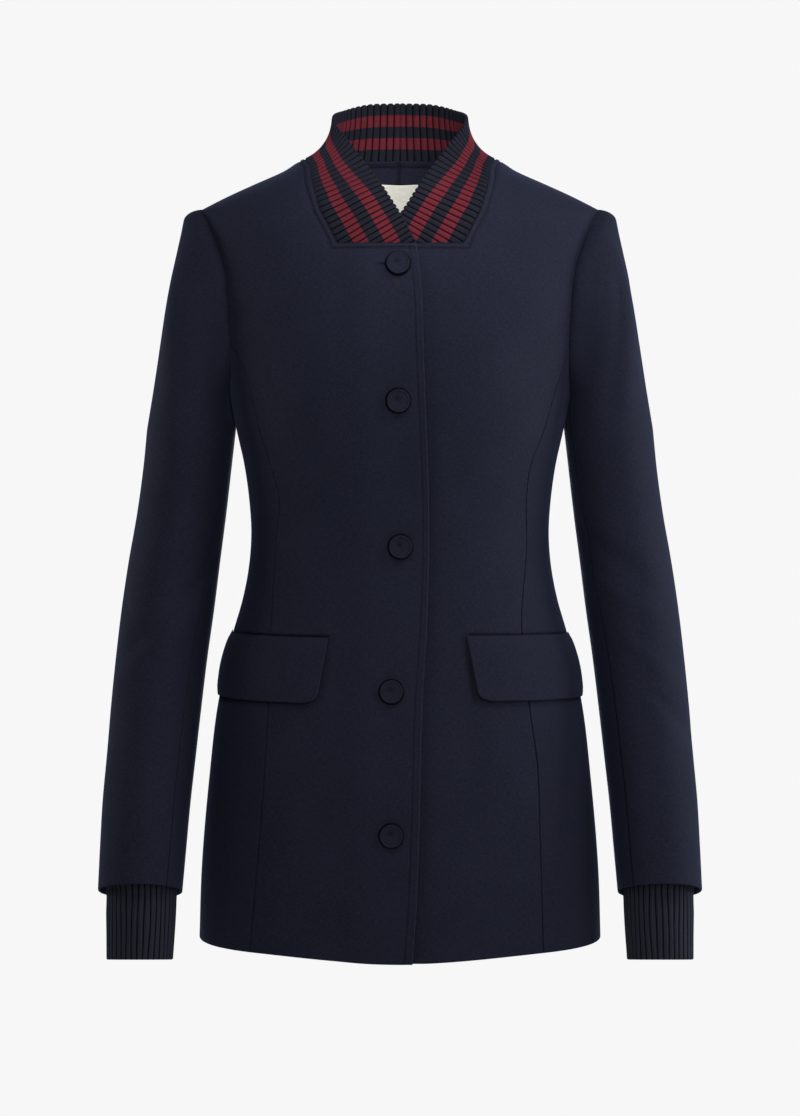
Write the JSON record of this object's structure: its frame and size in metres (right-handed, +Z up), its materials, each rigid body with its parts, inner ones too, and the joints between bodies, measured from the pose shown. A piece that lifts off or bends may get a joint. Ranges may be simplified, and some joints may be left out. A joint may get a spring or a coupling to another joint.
{
  "type": "blazer",
  "caption": "Fitted collarless tailored blazer with a striped rib stand collar, covered buttons, flap pockets and rib cuffs.",
  "frame": {"origin": "midway between the two points where the shoulder seams meet the collar, where the wearer's shoulders hold the blazer up", "axes": "+Z up, -Y the front of the blazer, +X towards the wearer's left arm"},
  "size_m": [0.5338, 0.2485, 0.77],
  "materials": {
    "navy_wool": "matte double crepe",
    "striped_rib": "soft rib knit with red stripes",
    "navy_rib": "soft rib knit",
    "cream_label": "smooth woven satin",
    "covered_button": "button covered in the matte crepe"
  },
  "bodies": {
    "root": {"front_right": "navy_wool", "front_left": "navy_wool", "side_right": "navy_wool", "side_left": "navy_wool", "back_right": "navy_wool", "back_left": "navy_wool", "sleeve_upper_right": "navy_wool", "sleeve_upper_left": "navy_wool", "sleeve_under_right": "navy_wool", "sleeve_under_left": "navy_wool", "flap_right": "navy_wool", "flap_left": "navy_wool", "back_facing": "navy_wool", "collar": "striped_rib", "cuff_right": "navy_rib", "cuff_left": "navy_rib", "label": "cream_label", "button_1": "covered_button", "button_2": "covered_button", "button_3": "covered_button", "button_4": "covered_button", "button_5": "covered_button"}
  },
  "joints": []
}
